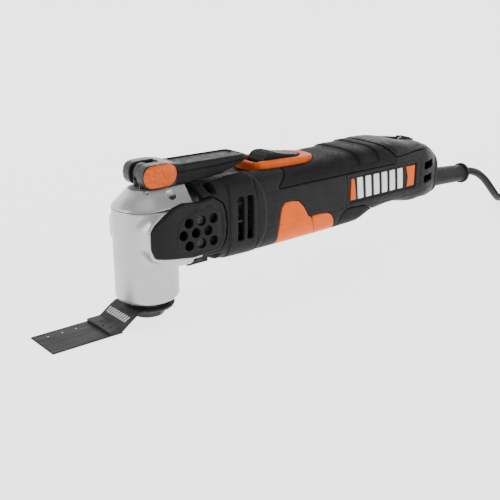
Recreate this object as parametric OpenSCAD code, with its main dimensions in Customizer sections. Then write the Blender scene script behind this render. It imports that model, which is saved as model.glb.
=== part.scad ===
// Oscillating multi tool with a mains lead.
// A die-cast gear head holds an upright spindle that swings a saw blade to and fro.
// A motor lies behind it in two shells, with a release lever, a slide switch and a
// speed dial on top.
// The origin is on the spindle axis, where the blade seats. +X runs from the head to
// the lead, +Z from the blade to the lever, and the tool is symmetric about Y = 0.

/* [Gear head] */
// Radius of the round collar at the foot of the gear head
collar_r = 21.9; // [21.5:0.1:22.4]
// Height of the collar's lower rim above the blade seat
collar_bottom = 3.5; // [3:0.1:4]
// Height of the joint between the gear housing and its cap
cap_seam = 67.8; // [67.4:0.1:68.2]
// Height of the flat top of the cap
head_top = 80.2; // [79.8:0.1:80.4]

/* [Spindle and blade] */
// Radius of the spindle in its lower bearing
spindle_r = 8.5; // [8.3:0.1:8.7]
// Radius of the clamping bolt that hangs in the spindle
bolt_r = 5; // [4.8:0.1:5.2]
// Width of the saw blade
blade_w = 31; // [28:0.5:34]
// Reach of the blade's teeth ahead of the spindle axis
blade_reach = 81; // [70:1:90]
// Number of teeth on the blade
blade_teeth = 22; // [12:1:30]

/* [Motor] */
// Height of the motor axis above the blade seat
motor_z = 52; // [51.8:0.1:52.2]
// Radius of the motor shaft
shaft_r = 4; // [3.8:0.1:4]
// Offset of the eccentric pin from the motor axis
eccentric = 0.84; // [0.6:0.02:0.9]
// Number of blades on the cooling fan
fan_blades = 11; // [9:2:13]

/* [Body] */
// Thickness of the coloured panels and grips that lie in the shells
skin_t = 2.4; // [2:0.1:2.6]
// Squareness of the body's cross-section, where 2 is an ellipse
squareness = 4; // [3.6:0.1:4.4]
// Radius of the round holes in the side guards
guard_hole_r = 3.4; // [3:0.1:3.6]

/* [Release lever] */
// Height of the lever's pivot above the blade seat
pivot_z = 88.8; // [88.6:0.1:89]
// Radius of the lever's round cheeks
cheek_r = 7.8; // [7.4:0.1:7.8]
// Rear end of the lever
lever_end = 83; // [81:0.5:84]

/* [Dial] */
// Radius of the speed dial
dial_r = 17; // [16:0.1:17]

/* [Mains lead] */
// Diameter of the lead
cord_d = 7; // [6.5:0.1:7.5]

/* [Hidden] */
$fn = 64;

// Running and standing clearances
run_gap = 0.06;
gap = 0.5;
bore_r = bolt_r + 0.08;

// Fore-and-aft places along X
head_r = collar_r + 0.6;
head_end = 26;
shell_start = 30;
tail_start = 286;
guard_face = 24.2;
guard_t = 3.4;

// Cross-sections of the body: [x, half width, lowest z, highest z]
body_sections = [
    [30, 26.8, 23.6, 80.8], [46, 27.6, 23.2, 81.6], [74, 29.2, 23, 82.4],
    [84, 29.8, 23, 82], [125, 29.8, 23.2, 80.4], [150, 29.8, 23.6, 80.8],
    [178, 29.8, 24.4, 82.8], [196, 29.8, 30.4, 83.6], [224, 29.8, 33, 83],
    [248, 29.6, 30.4, 79.4], [256, 29.2, 30.2, 78.4], [264, 26.6, 29.4, 76.6],
    [271, 23.2, 28.6, 74.2], [278, 19, 28, 71], [286, 14.2, 27.6, 66.6],
];
// The tail narrows to a blunt round end behind the shells
tail_sections = [
    [286, 14.2, 27.6, 66.6], [290, 13, 28.2, 63.5], [293, 11.6, 29.6, 60], [294.5, 10.4, 31, 57],
];
// The room inside the shells
room_sections = [
    [29, 21.6, 30, 77], [49, 21.6, 30, 77], [51, 26.2, 26, 77], [76, 26.6, 26, 77],
    [90, 27, 26, 77], [178, 27, 27, 77], [198, 27, 34, 79.5], [224, 27, 36, 79.5],
    [248, 26.6, 33.4, 76], [256, 26.2, 33.2, 75], [264, 23.4, 32.4, 73.2],
    [271, 20, 31.6, 70.8], [278, 15.8, 31, 67.6], [287, 11, 30.8, 63],
];
section_points = 36;

// The shell screws run along Y: [x, z, reach of the boss, outer radius round the head]
shell_screws = [
    [90.5, 27.4, 17, 3.6], [151.2, 63, 27.6, 4.2], [204, 39.5, 27.4, 4.8], [275.5, 54.5, 17, 4.8],
];
shell_screw_r = 1.9;

// Places of the cap's screws as [x, y], on both sides
cap_screw_places = [[12.4, 15]];
cap_screw_r = 1.3;
cap_screw_seat = 72.2;

// Side view of the guards as [x, z]
guard_outline = [
    [-12, 44.5], [-8.5, 37.8], [-1.5, 36.3], [20, 33.3], [43.5, 34.2], [47.4, 42],
    [48.4, 51], [47.4, 60], [45, 66.5], [37, 71.9], [25, 70.7], [13, 72], [5, 70],
    [-8.5, 60.5], [-12, 56.5],
];
// Columns and rows of the guards' holes
guard_holes = [
    [16.5, 58.2], [36.5, 58.2], [12, 50.5], [22, 50.5], [32, 50.5], [16.5, 42.5], [36.5, 42.5],
];
guard_screws = [[26.6, 58.2], [26.6, 42.5]];

// Side view of the two coloured saddle panels as [x, z]
saddle_front_outline = [
    [96.2, 10], [95, 24], [93.6, 36], [95, 48], [96.2, 54.5], [99.5, 57.6], [106, 57.8],
    [112.6, 56.4], [118, 51.4], [122.6, 43.6], [125.2, 42.1], [126.8, 38], [131.4, 28],
    [133.8, 10],
];
saddle_rear_outline = [
    [125.8, 42.3], [127.4, 42.6], [134.2, 42.8], [142, 42], [146.4, 39.8], [149.4, 35.8],
    [152.4, 28], [153.6, 10], [134.2, 10], [131.8, 28], [127.2, 38],
];

// Route of the lead from the end of its boot to the coil
cord_r = cord_d / 2;
cord_route = [
    [345, 0, 36], [356, 0, 35], [367, 0, 31.5], [377, 0.2, 25.8], [386.5, 0.8, 18.5],
    [396, 2.2, 10.8], [406, 4.6, 3.6], [417, 8.6, -2.6], [429, 13.6, -6.4],
    [441, 18.6, -7.7], [453, 22.8, -7.7],
];
coil_centre = [476, -18];
coil_inner = 26.5;
coil_turns = 3;
coil_layers = 4;
floor_z = -11.2;
coil_top = floor_z + coil_layers * cord_d;
// The end of the lead lies on the coil and turns in to the plug: centre of that bend
end_bend = [484.9, -18.5];
end_bend_r = 28;
plug_angle = 180;
plug_start = [484.9, -46.5, coil_top + 6.85];

// Draws a rod, a ring or a block between two places
module rod_x(x0, x1, r, y = 0, z = motor_z)
    translate([x0, y, z]) rotate([0, 90, 0]) cylinder(h = x1 - x0, r = r);
module rod_y(y0, y1, r, x, z)
    translate([x, y0, z]) rotate([-90, 0, 0]) cylinder(h = y1 - y0, r = r);
module rod_z(z0, z1, r, x = 0, y = 0)
    translate([x, y, z0]) cylinder(h = z1 - z0, r = r);
module ring_x(x0, x1, outer, inner) difference() {
    rod_x(x0, x1, outer);
    rod_x(x0 - 1, x1 + 1, inner);
}
module ring_z(z0, z1, outer, inner) difference() {
    rod_z(z0, z1, outer);
    rod_z(z0 - 1, z1 + 1, inner);
}
module block(x, y, z)
    translate([x[0], y[0], z[0]]) cube([x[1] - x[0], y[1] - y[0], z[1] - z[0]]);
// Stands a side view, drawn as [x, z], up between two values of y
module side_slab(y0, y1)
    translate([0, y1, 0]) rotate([90, 0, 0]) linear_extrude(y1 - y0) children();
// Draws the children on the left side and again, mirrored, on the right
module both_sides() {
    children();
    mirror([0, 1, 0]) children();
}

// One cross-section of the body, drawn in by an inset
function squared(v) = sign(v) * pow(abs(v), 2 / squareness);
function cross_section(s, inset) = [
    for (i = [0:section_points - 1])
        let (a = 360 * i / section_points, mid = (s[2] + s[3]) / 2)
            [s[0], (s[1] - inset) * squared(cos(a)),
             mid + ((s[3] - s[2]) / 2 - inset) * squared(sin(a))]
];
// A solid skinned over a list of rings that have the same number of points
module skinned(rings) {
    n = len(rings[0]);
    last = len(rings) - 1;
    polyhedron(
        [for (r = rings) each r],
        concat(
            [[for (i = [0:n - 1]) i]],
            [for (j = [0:last - 1], i = [0:n - 1]) [j * n + i, (j + 1) * n + i, (j + 1) * n + (i + 1) % n]],
            [for (j = [0:last - 1], i = [0:n - 1]) [j * n + i, (j + 1) * n + (i + 1) % n, j * n + (i + 1) % n]],
            [[for (i = [n - 1:-1:0]) last * n + i]]),
        convexity = 6);
}
module body_solid(sections = body_sections, inset = 0)
    skinned([for (s = sections) cross_section(s, inset)]);
// The part of the body's outer skin that lies inside the children
module body_skin(inset = skin_t) difference() {
    intersection() {
        body_solid();
        union() children();
    }
    body_solid(inset = inset);
}
// The same region, deep enough to cut its seat in the shells
module skin_seat(inset = skin_t) difference() {
    union() children();
    body_solid(inset = inset);
}

// Regions of the body that other pieces fill
module saddle_front_region() side_slab(-40, 40) polygon(saddle_front_outline);
module saddle_rear_region() side_slab(-40, 40) polygon(saddle_rear_outline);
module top_grip_region() difference() {
    side_slab(-40, 40) polygon([[92, 91], [94.4, 68.6], [217, 68.6], [217, 72.7], [196.6, 91]]);
    block([60, 146.5], [-16.4, 16.4], [60, 100]);
}
module belly_region() side_slab(-40, 40)
    polygon([
        [156.2, 10], [154.6, 28], [156, 35], [160.8, 40.2], [165, 41.3], [182, 40.6],
        [189, 37], [198, 33.6], [208, 31.6], [210, 10]]);
module bezel_region() side_slab(-40, 40)
    polygon([[198, 91], [218.6, 72.8], [264, 73], [274, 71.6], [275, 91]]);
module badge_region(grow = 0)
    block([165 - grow, 242 + grow], [28.6, 40], [44.5 - grow, 66 + grow]);

// GEAR HEAD
module head_plan(r) {
    circle(r, $fn = 96);
    translate([0, -r]) square([head_end, 2 * r]);
}
module gear_housing() color("silver") difference() {
    union() {
        rod_z(collar_bottom + 3, cap_seam, collar_r, $fn = 96);
        rod_z(collar_bottom, collar_bottom + 3, collar_r - 3, $fn = 96);
        translate([0, 0, collar_bottom + 3])
            rotate_extrude($fn = 96) translate([collar_r - 3, 0]) circle(3, $fn = 32);
        translate([0, 0, 26.5]) linear_extrude(cap_seam - 26.5) head_plan(head_r);
        block([-6, shell_start - 0.2], [-guard_face, guard_face], [39, 66]);
        block([head_end, shell_start - 0.2], [-21.5, 21.5], [31.5, 76]);
        rod_x(head_end, 47, 21);
    }
    // Gear chamber, lower bearing seat and the hole for the seal
    rod_z(19, cap_seam + 10, 17.6);
    rod_z(9, 20, 17.5);
    rod_z(0, 10, 14);
    block([0, 36], [-16.5, 16.5], [38, 60.6]);
    block([19, 36], [-13, 13], [38, 63]);
    rod_x(30, 40, 9.5);
    rod_x(39.8, 48, 11);
    for (p = cap_screw_places, y = [-p[1], p[1]]) rod_z(61, 90, cap_screw_r, p[0], y);
    both_sides() for (h = guard_screws) rod_y(17.9, 30, 1.6, h[0], h[1]);
}
module cap_profile() polygon(concat(
    [[0, cap_seam], [head_r, cap_seam], [head_r, cap_seam + 0.4]],
    [[head_r - 1.1, 69.6], [head_r - 6.9, 75.4], [head_r - 11.1, head_top], [0, head_top]]));
module gear_housing_cap() color("silver") difference() {
    union() {
        rotate_extrude($fn = 96) cap_profile();
        rotate([90, 0, 90]) linear_extrude(head_end) {
            cap_profile();
            mirror([1, 0]) cap_profile();
        }
    }
    rod_z(cap_seam - 1, 75.7, 13);
    rod_z(70, 90, 2.4 + run_gap);
    for (p = cap_screw_places, y = [-p[1], p[1]]) {
        rod_z(60, 90, cap_screw_r, p[0], y);
        rod_z(cap_screw_seat, 90, 2.6, p[0], y);
    }
}
module cap_screws() color("gainsboro")
    for (p = cap_screw_places, y = [-p[1], p[1]]) {
        rod_z(61.4, cap_screw_seat, cap_screw_r, p[0], y);
        rod_z(cap_screw_seat, cap_screw_seat + 1.8, 2.4, p[0], y);
    }
module lever_bracket() color("dimgray") difference() {
    both_sides() side_slab(2.8, 4.2) {
        translate([0, pivot_z]) circle(5);
        translate([-5, head_top]) square([10, pivot_z - head_top]);
    }
    rod_y(-10, 10, 2.5 + run_gap, 0, pivot_z);
}
module chin_block() color([0.13, 0.13, 0.14]) difference() {
    block([23, 40], [-16, 16], [23.6, 31]);
    rod_z(0, 40, collar_r + 0.4);
    block([22, 30], [-17, 17], [26.3, 32]);
}

// SIDE GUARDS
module side_guard() difference() {
    side_slab(guard_face, guard_face + guard_t) polygon(guard_outline);
    for (h = guard_holes) rod_y(20, 40, guard_hole_r, h[0], h[1]);
    for (h = guard_screws) {
        rod_y(20, 40, 1.8, h[0], h[1]);
        rod_y(25.4, 40, guard_hole_r, h[0], h[1]);
    }
}
module side_guard_left() color([0.12, 0.12, 0.13]) side_guard();
module side_guard_right() color([0.12, 0.12, 0.13]) mirror([0, 1, 0]) side_guard();
module side_guard_screws() color("gainsboro") both_sides() for (h = guard_screws) {
    rod_y(18, 25.5, 1.6, h[0], h[1]);
    rod_y(25.4, 27, 3, h[0], h[1]);
}

// BODY SHELLS
module vent_slots() {
    for (x = [56, 64.2]) block([x, x + 6.6], [20, 40], [37.5, 68]);
    for (z = [47.2, 57.4]) block([254, 268.5], [16, 40], [z, z + 6.2]);
}
module body_shell() difference() {
    union() {
        difference() {
            body_solid();
            body_solid(room_sections);
        }
        for (s = shell_screws) {
            rod_y(0.05, s[2], 3.6, s[0], s[1]);
            if (s[3] > 3.6) rod_y(12.8, s[2], s[3], s[0], s[1]);
        }
    }
    // The right shell takes the other half
    block([0, 400], [-60, 0.05], [0, 120]);
    // Trough for the lever, openings for the switch and the rear top
    block([20, 93], [-15.6, 15.6], [79, 100]);
    block([78, 146.4], [-16.2, 16.2], [78.6, 100]);
    block([103, 119], [-3.6, 3.6], [70, 100]);
    bezel_region();
    block([236, 276], [-6.6, 6.6], [60, 100]);
    // Step under the front
    block([20, 44], [-40, 40], [10, 31]);
    side_slab(guard_face, 40) polygon(guard_outline);
    vent_slots();
    skin_seat() top_grip_region();
    skin_seat() belly_region();
    skin_seat() saddle_front_region();
    skin_seat() saddle_rear_region();
    badge_region();
    for (s = shell_screws) rod_y(-1, 17.4, shell_screw_r + 0.05, s[0], s[1]);
}
module body_shell_left() color([0.13, 0.13, 0.14]) difference() {
    body_shell();
    for (s = shell_screws) rod_y(14.8, 40, 3.5, s[0], s[1]);
}
module body_shell_right() color([0.13, 0.13, 0.14]) mirror([0, 1, 0]) body_shell();
module body_screws() color("gainsboro") for (s = shell_screws) {
    rod_y(-16.8, 14.9, shell_screw_r, s[0], s[1]);
    rod_y(14.8, 17, 3.3, s[0], s[1]);
}
module top_grip() color([0.09, 0.09, 0.1]) body_skin() top_grip_region();
module belly_grip() color([0.1, 0.1, 0.11]) body_skin() belly_region();
module saddle_front() color("darkorange") body_skin() saddle_front_region();
module saddle_rear() color("orange") body_skin() saddle_rear_region();
module badge() difference() {
    intersection() {
        badge_region();
        body_solid();
    }
    for (x = [176, 231]) block([x - 0.5, x + 0.5], [29.3, 40], [46, 64.5]);
}
module badge_left() color("white") badge();
module badge_right() color("white") mirror([0, 1, 0]) badge();
module switch_surround() color("darkorange") difference() {
    intersection() {
        translate([0, 0, 70]) linear_extrude(30) {
            translate([93, -15.5]) square([37, 31]);
            translate([84, -6.5]) square([10, 13]);
            for (y = [-6.5, 6.5]) translate([93, y]) circle(9);
            translate([130, 0]) circle(15.5);
        }
        side_slab(-20, 20) polygon([[79, 78.7], [79, 85], [91, 85.6], [146, 83.4], [146, 78.7]]);
    }
    block([89, 137], [-10.8, 10.8], [80, 100]);
    block([103, 119], [-3.6, 3.6], [70, 100]);
}
module dial_bezel() color([0.1, 0.1, 0.11]) difference() {
    intersection() {
        body_solid();
        bezel_region();
    }
    body_solid(room_sections);
    block([238, 271.6], [-6.4, 6.4], [60, 100]);
}
module tail_cap() color([0.13, 0.13, 0.14]) difference() {
    body_solid(tail_sections);
    rod_x(280, 310, 6.4, z = 39.1);
    rod_x(280, 290, 9.4, z = 39.1);
}

// MOTOR
module motor_bearing_front() color("lightsteelblue") ring_x(40, 47, 11, shaft_r + 0.05);
module motor_bearing_rear() color("lightsteelblue") ring_x(156, 163, 11, shaft_r + 0.05);
module motor_end_frame() color("slategray") {
    ring_x(155.4, 165, 14, 11);
    difference() {
        ring_x(155.4, 158, 21.5, 13.5);
        for (a = [0:45:315]) translate([0, 0, motor_z]) rotate([a, 0, 0])
            translate([0, 0, -motor_z]) rod_x(150, 160, 2.2, z = motor_z + 17.8);
    }
    for (z = [motor_z - 2, motor_z + 2]) both_sides() block([155.4, 158], [21, 26.5], [z - 1.5, z + 1.5]);
}
module air_baffle() color("dimgray") difference() {
    ring_x(71.6, 73.6, 24.6, 17);
    both_sides() rod_x(70, 76, 1.6, y = 20.6);
}
module stator_core() color("slategray") difference() {
    intersection() {
        rod_x(82, 122, 24);
        block([80, 124], [-30, 30], [motor_z - 20.5, motor_z + 20.5]);
    }
    rod_x(80, 124, 14.3);
}
module field_coils() color("chocolate") difference() {
    for (x = [75.5, 122]) ring_x(x, x + 6.5, 20, 15.2);
    block([70, 130], [-30, 30], [motor_z - 5, motor_z + 5]);
}
module brush_holders() color("goldenrod") difference() {
    for (z = [motor_z - 23, motor_z + 11.5]) block([136, 145], [-5, 5], [z, z + 11.5]);
    block([137.5, 143.5], [-3.2, 3.2], [20, 90]);
}
module carbon_brushes() color([0.2, 0.2, 0.2])
    for (z = [motor_z - 21, motor_z + 10.9])
        block([137.6, 143.4], [-3.1, 3.1], [z, z + 10.1]);
module rotor_shaft() color("lightgray") {
    rod_x(33, 168, shaft_r);
    rod_x(22, 33.5, 3, z = motor_z + eccentric);
}
module eccentric_bearing() color("lightsteelblue")
    translate([0, 0, eccentric]) ring_x(24, 31.5, 8, 3);
module armature() color("chocolate") difference() {
    union() {
        rod_x(82, 122, 13.8);
        rod_x(75, 129, 12.4);
    }
    rod_x(70, 135, shaft_r);
    for (a = [0:30:330]) translate([0, 0, motor_z]) rotate([a, 0, 0])
        block([80, 124], [-0.8, 0.8], [12.6, 15]);
}
module commutator() color("peru") difference() {
    rod_x(133, 147, 10.5);
    rod_x(130, 150, shaft_r);
    for (a = [0:30:330]) translate([0, 0, motor_z]) rotate([a, 0, 0])
        block([130, 145], [-0.25, 0.25], [9.4, 12]);
}
module cooling_fan() color([0.85, 0.85, 0.8]) difference() {
    union() {
        rod_x(54, 56, 22.5);
        rod_x(54, 69, 7.5);
        for (i = [0:fan_blades - 1]) translate([0, 0, motor_z]) rotate([360 * i / fan_blades, 0, 0])
            block([55, 68], [-0.7, 0.7], [6, 22]);
    }
    rod_x(50, 72, shaft_r);
}

// CONTROLS
module switch_module() color("royalblue") {
    block([172, 196], [-9, 9], [56, 71]);
    block([172.5, 178], [-3, 3], [71, 74.6]);
}
module speed_circuit() color("seagreen") {
    block([208, 246], [-17, 17], [43.6, 45.2]);
    block([212, 226], [-9, 9], [45.2, 60]);
    rod_z(45.2, 62, 5, 231, -10);
    block([250, 262], [-12, -9.4], [52, 66]);
}
module switch_slider() color([0.1, 0.1, 0.11]) difference() {
    side_slab(-10, 10) polygon([
        [96, 80.6], [96, 84.6], [100, 88.6], [103, 89.5], [108, 89.3], [118, 86.8],
        [135, 84.6], [135, 80.6]]);
    for (x = [99:2.4:108]) block([x, x + 0.9], [-8.5, 8.5], [88.2, 92]);
    // Foot that carries the switch link
    block([110, 116], [-3, 3], [80, 81.6]);
    block([100, 131], [-7, 7], [79, 82.5]);
}
module speed_dial() color([0.14, 0.14, 0.15]) difference() {
    translate([256, 0, 64]) rotate([90, 0, 0]) union() {
        cylinder(h = 11, r = dial_r - 0.9, center = true);
        for (a = [0:15:345]) rotate(a) translate([dial_r - 1.3, 0])
            cylinder(h = 11, r = 1.3, center = true, $fn = 16);
        cylinder(h = 17, r = 2, center = true);
    }
}

// SPINDLE
module spindle_bearing_lower() color("lightsteelblue") ring_z(9, 19, 17.5, spindle_r + 0.05);
module spindle_bearing_upper() color("lightsteelblue") ring_z(68.2, 75.6, 13, 7.5 + 0.05);
module spindle_seal() color([0.2, 0.2, 0.2]) ring_z(6, 8.8, 14, spindle_r + 0.1);
module output_spindle() color("lightgray") difference() {
    union() {
        rod_z(5.5, 62, spindle_r);
        rod_z(61, 75.4, 7.5);
    }
    rod_z(0, 80, bore_r);
}
module tool_flange() color("dimgray") difference() {
    union() {
        rod_z(0, 3, 15);
        rod_z(0, 5.5, 11);
        for (a = [0:30:330]) rotate(a) rod_z(-1.5, 0.1, 1.4, 12.4);
    }
    rod_z(-2, 8, bore_r);
}
module oscillating_fork() color("slategray") difference() {
    union() {
        rod_z(44, 60, 14);
        both_sides() block([4, 32], [10.2, 14.6], [46, 59]);
        block([-15.4, -8], [-6.4, 6.4], [46, 58]);
    }
    rod_z(40, 64, spindle_r);
    block([-20, -5], [-0.8, 0.8], [40, 64]);
    rod_y(-10, 10, 1.2, -13.6, motor_z);
}
module disc_springs() color("lightgray")
    for (z = [62.2:1.1:66.6]) ring_z(z, z + 0.8, 12.6, 8.8);
module clamp_bolt() color([0.2, 0.2, 0.21]) difference() {
    union() {
        rod_z(-4, 57.4, bolt_r);
        rod_z(-4.6, -1.8, 11);
        translate([0, 0, -9]) cylinder(h = 4.5, r1 = 11.4, r2 = 12.5);
    }
    rod_z(-10, -6, 4.2);
    for (z = [48, 51, 54]) ring_z(z, z + 1.4, 7, bolt_r - 0.8);
}
module blade_shank() color([0.16, 0.16, 0.17]) difference() {
    union() {
        rotate_extrude() polygon([[0, -1.8], [14, -1.8], [17.4, -3.4], [18.9, -0.6], [16.2, -0.1], [0, -0.1]]);
        side_slab(-blade_w / 2, blade_w / 2) polygon([
            [-12, -0.1], [-17, -0.1], [-20.4, -2.2], [-29.2, -8.4], [-39.5, -8.4],
            [-39.5, -10.1], [-29.8, -10.1], [-21, -4], [-17.4, -1.8], [-12, -1.8]]);
    }
    rod_z(-12, 2, bolt_r + 0.4);
    for (a = [0:30:330]) rotate(a) rod_z(-3, 1, 1.8, 12.4);
}
module saw_blade() color([0.17, 0.17, 0.18]) difference() {
    pitch = blade_w / blade_teeth;
    translate([0, 0, floor_z]) linear_extrude(1.1) polygon(concat(
        [[-29.8, blade_w / 2], [-29.8, -blade_w / 2]],
        [for (i = [0:blade_teeth - 1]) each [
            [-blade_reach + 1.1, -blade_w / 2 + i * pitch],
            [-blade_reach, -blade_w / 2 + (i + 0.5) * pitch]]],
        [[-blade_reach + 1.1, blade_w / 2]]));
    for (x = [-72, -62, -52]) rod_z(-12, -9, 0.8, x, 11.5);
}

// RELEASE LEVER
module lever_yoke() color([0.2, 0.2, 0.21]) difference() {
    union() {
        both_sides() side_slab(4.5, 12.5) {
            translate([0, pivot_z]) circle(cheek_r);
            translate([10.9, pivot_z - 0.4]) circle(cheek_r);
            translate([0, pivot_z - cheek_r]) square([10.9, 2 * cheek_r - 0.4]);
        }
        // Web between the cheeks, behind the slot
        block([10.5, 17], [-5, 5], [82, 95]);
        // Cam that presses the push rod
        translate([0, 0, 1.25]) rod_y(-2.4, 2.4, 6, 0, pivot_z);
        block([0, 11], [-2.4, 2.4], [87, 95]);
    }
    rod_y(-14, 14, 2.5, 0, pivot_z);
}
module lever_arm() color([0.11, 0.11, 0.12]) difference() {
    intersection() {
        side_slab(-13, 13) polygon([
            [17, 80.8], [17, 95.4], [21, 93.8], [lever_end - 5, 93], [lever_end, 91.4],
            [lever_end, 89], [73, 86.6], [57, 82.4], [40, 80.8]]);
        translate([0, 0, 70]) linear_extrude(40) {
            translate([10, -12.5]) square([lever_end - 15, 25]);
            translate([lever_end - 6, -7.5]) square([6, 15]);
            for (y = [-7.5, 7.5]) translate([lever_end - 5, y]) circle(5);
        }
    }
    // The arm is a shell, open below
    block([24, 72], [-10, 10], [70, 88.5]);
    translate([10.9, 0, 0]) rod_y(-20, 20, cheek_r, 0, pivot_z - 0.4);
}
module lever_caps() color("darkorange") both_sides() side_slab(12.5, 14.2) {
    translate([0.2, pivot_z]) circle(cheek_r - 0.1);
    translate([10.9, pivot_z - 0.4]) circle(cheek_r - 0.1);
    translate([0.2, pivot_z - cheek_r + 0.1]) square([10.7, 2 * cheek_r - 0.6]);
}
module lever_pin() color("lightgray") rod_y(-12.5, 12.5, 2.5, 0, pivot_z);
module push_rod() color("lightgray") {
    rod_z(62, 83.6, 2.4);
    rod_z(60.4, 63, 4.2);
}

// MAINS LEAD
module cord_boot() color([0.1, 0.1, 0.1])
    translate([284, 0, 39.26]) rotate([0, 90 + 3.7, 0]) {
        cylinder(h = 5.6, r = 8.8);
        cylinder(h = 14, r = 6.1);
        translate([0, 0, 11.4]) cylinder(h = 46, r1 = 8.2, r2 = 7.6);
        translate([0, 0, 56.4]) cylinder(h = 3.4, r = 9.1);
    }
module cord_clamp() color("slategray") {
    block([273, 282.6], [-11, 11], [44.6, 47.8]);
    for (y = [-8.4, 8.4]) rod_z(36.5, 49.6, 1.5, 278, y);
    rod_x(250, 283.6, cord_r, z = 40.6);
}
// A tube of ten sides that follows a list of points
function unit(v) = v / norm(v);
function heading(p, i) = unit(p[min(i + 1, len(p) - 1)] - p[max(i - 1, 0)]);
function tube_ring(p, t, r) = let (side = unit(cross(t, [0, 0, 1])), up = cross(side, t))
    [for (a = [0:36:324]) p + r * (cos(a) * side + sin(a) * up)];
module tube(route, r)
    skinned([for (i = [0:len(route) - 1]) tube_ring(route[i], heading(route, i), r)]);
module cord_lead() color([0.1, 0.1, 0.1]) tube(cord_route, cord_r);
module cord_coil() color([0.1, 0.1, 0.1]) translate([coil_centre[0], coil_centre[1], floor_z])
    rotate_extrude($fn = 96) translate([coil_inner, 0])
        square([coil_turns * cord_d, coil_layers * cord_d]);
module cord_end() color([0.1, 0.1, 0.1]) tube([
    for (a = [0:-15:-90])
        [end_bend[0] + end_bend_r * cos(a), end_bend[1] + end_bend_r * sin(a),
         coil_top + cord_r + max(0, -a - 45) * 0.07]], cord_r);
module cord_tie() color("dimgray")
    translate([coil_centre[0], coil_centre[1], 0]) rotate(90) difference() {
        block([25.5, 48.5], [-6, 6], [floor_z, coil_top + 1]);
        block([26.5, 47.5], [-7, 7], [floor_z + 1, coil_top]);
    }
module plug_place()
    translate(plug_start) rotate(plug_angle) children();
module plug_body() color([0.1, 0.1, 0.1]) plug_place() {
    rotate([0, 90, 0]) cylinder(h = 22, r1 = 4.4, r2 = 6);
    translate([0, 0, -6.85]) linear_extrude(13.7)
        polygon([[20, -7], [34, -17.6], [56, -17.6], [56, 17.6], [34, 17.6], [20, 7]]);
}
module plug_pins() color("gold") plug_place()
    for (y = [-9.3, 9.3]) translate([56, y, 0]) rotate([0, 90, 0]) cylinder(h = 19, r = 2);

gear_housing();
gear_housing_cap();
cap_screws();
lever_bracket();
chin_block();
side_guard_left();
side_guard_right();
side_guard_screws();
body_shell_left();
body_shell_right();
body_screws();
top_grip();
belly_grip();
saddle_front();
saddle_rear();
badge_left();
badge_right();
switch_surround();
dial_bezel();
tail_cap();
motor_bearing_front();
motor_bearing_rear();
motor_end_frame();
air_baffle();
stator_core();
field_coils();
brush_holders();
carbon_brushes();
switch_module();
speed_circuit();
spindle_bearing_lower();
spindle_bearing_upper();
spindle_seal();
cord_clamp();
cord_boot();
cord_lead();
cord_coil();
cord_end();
cord_tie();
plug_body();
plug_pins();
output_spindle();
tool_flange();
oscillating_fork();
disc_springs();
clamp_bolt();
blade_shank();
saw_blade();
lever_yoke();
lever_arm();
lever_caps();
lever_pin();
push_rod();
rotor_shaft();
armature();
commutator();
cooling_fan();
eccentric_bearing();
switch_slider();
speed_dial();
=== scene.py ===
import math

import bpy
import numpy as np
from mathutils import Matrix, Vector


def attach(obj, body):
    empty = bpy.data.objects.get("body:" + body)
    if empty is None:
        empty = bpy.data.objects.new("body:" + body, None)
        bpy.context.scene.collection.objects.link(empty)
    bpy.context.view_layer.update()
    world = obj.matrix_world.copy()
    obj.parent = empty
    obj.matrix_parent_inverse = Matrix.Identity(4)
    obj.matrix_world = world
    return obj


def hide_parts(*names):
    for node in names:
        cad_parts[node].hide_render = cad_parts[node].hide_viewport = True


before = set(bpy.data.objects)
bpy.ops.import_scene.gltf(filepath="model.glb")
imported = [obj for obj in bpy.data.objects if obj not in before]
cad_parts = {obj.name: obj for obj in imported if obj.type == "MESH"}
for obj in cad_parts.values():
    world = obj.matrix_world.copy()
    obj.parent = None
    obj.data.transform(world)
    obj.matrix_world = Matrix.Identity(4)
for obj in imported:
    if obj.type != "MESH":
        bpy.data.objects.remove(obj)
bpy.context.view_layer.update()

MM = 0.001
scene = bpy.context.scene

# ---- camera
LENS, SENSOR = 60.65, 36
CAMERA_AT = (-0.28749, -0.45866, 0.22282)
CAMERA_AIM = (0.09117, 0, 0.01586)

camera_data = bpy.data.cameras.new("camera")
camera_data.lens = LENS
camera_data.sensor_width = SENSOR
camera_data.clip_start = 0.01
camera = bpy.data.objects.new("camera", camera_data)
camera.location = CAMERA_AT
aim = Vector(CAMERA_AIM) - camera.location
camera.rotation_euler = aim.to_track_quat("-Z", "Y").to_euler()
scene.collection.objects.link(camera)
scene.camera = camera


# ---- materials
MOTTLE = (0.35, 0.65)
# POINTED, SCUFFED and SCUFF_SIZE shape the lighter edges, which are partly wear and partly a painted
# highlight
POINTED = (0.53, 0.62)
SCUFFED = (0.4, 0.6)
SCUFF_SIZE = 3.0


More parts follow.
